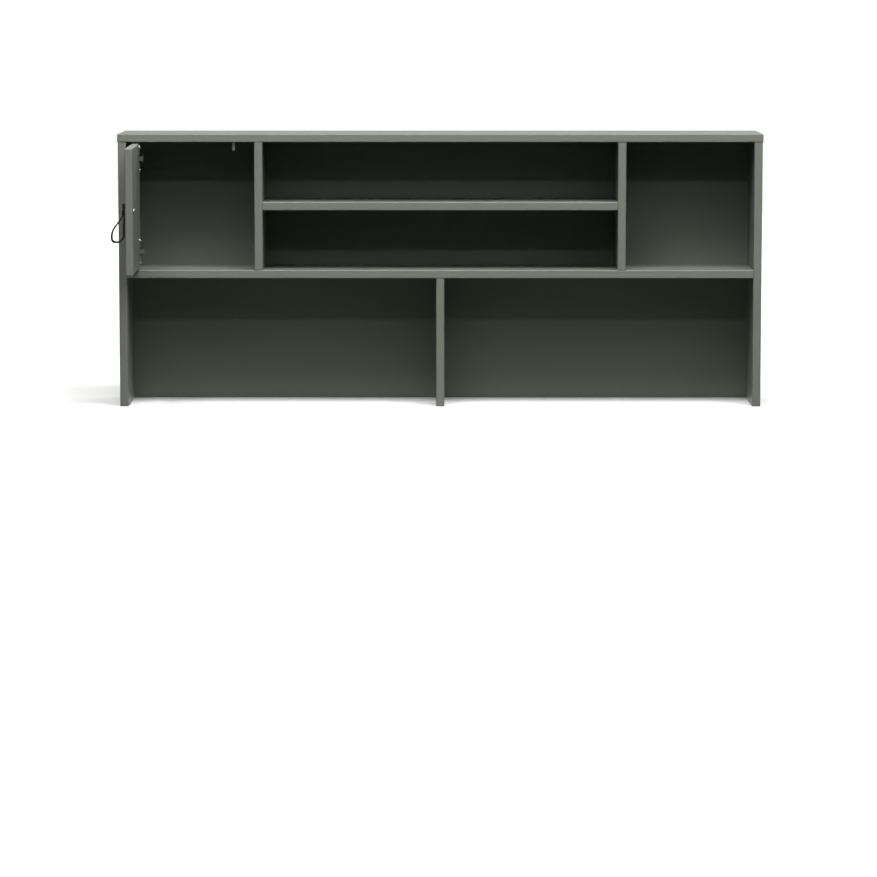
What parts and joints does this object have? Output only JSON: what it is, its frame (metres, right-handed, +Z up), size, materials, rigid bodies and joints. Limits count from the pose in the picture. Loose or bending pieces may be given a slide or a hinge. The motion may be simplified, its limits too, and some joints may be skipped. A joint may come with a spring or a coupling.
{
  "type": "desk hutch",
  "caption": "Painted wooden desk hutch: open bays over and under a shelf, a slim letter shelf between two dividers, and a small hinged door with a looped leather pull.",
  "frame": {"origin": "on the desk top, at mid width and mid depth of the carcass, under the lower divider", "axes": "+X to the right as seen from the front, +Y to the back, +Z up"},
  "size_m": [1.1, 0.3555, 0.466],
  "materials": {
    "painted_wood": "satin grey-green paint over softwood boards",
    "painted_back_board": "satin grey-green paint on thin board",
    "beech_dowel": "bare beech",
    "zinc_fitting": "die-cast zinc",
    "plated_screw": "zinc plated",
    "hinge_steel": "nickel plated pressed steel",
    "hinge_pin_steel": "bright steel",
    "stop_pin_metal": "turned light metal",
    "pull_nut_metal": "burnished dark steel",
    "leather_strap": "black vegetable-tanned leather with waxed edges"
  },
  "bodies": {
    "cabinet": {"top_panel": "painted_wood", "left_side": "painted_wood", "right_side": "painted_wood", "main_shelf": "painted_wood", "left_divider": "painted_wood", "right_divider": "painted_wood", "letter_shelf": "painted_wood", "lower_divider": "painted_wood", "back_panel": "painted_back_board", "top_dowels": "beech_dowel", "shelf_dowels": "beech_dowel", "divider_dowels": "beech_dowel", "letter_shelf_dowels": "beech_dowel", "lower_divider_dowels": "beech_dowel", "top_cams": "zinc_fitting", "shelf_cams": "zinc_fitting", "top_cam_bolts": "plated_screw", "shelf_cam_bolts": "plated_screw", "divider_screws": "plated_screw", "back_panel_screws": "plated_screw", "hinge_plate_screws": "plated_screw", "hinge_arm_screws": "plated_screw", "upper_hinge_arm": "hinge_steel", "lower_hinge_arm": "hinge_steel", "upper_hinge_plate": "hinge_steel", "lower_hinge_plate": "hinge_steel", "door_stop_pin": "stop_pin_metal"},
    "door": {"door": "painted_wood", "upper_hinge_cup": "hinge_steel", "lower_hinge_cup": "hinge_steel", "upper_hinge_pin": "hinge_pin_steel", "lower_hinge_pin": "hinge_pin_steel", "hinge_cup_screws": "plated_screw", "pull_strap": "leather_strap", "pull_nut": "pull_nut_metal", "pull_screw": "plated_screw"}
  },
  "joints": [
    {"name": "door_hinge", "type": "hinge", "parent": "cabinet", "child": "door", "pos_m": [-0.52, -0.0742, 0.344], "axis": [0, 0, 1], "range_deg": [-6.4, 88.6]}
  ]
}
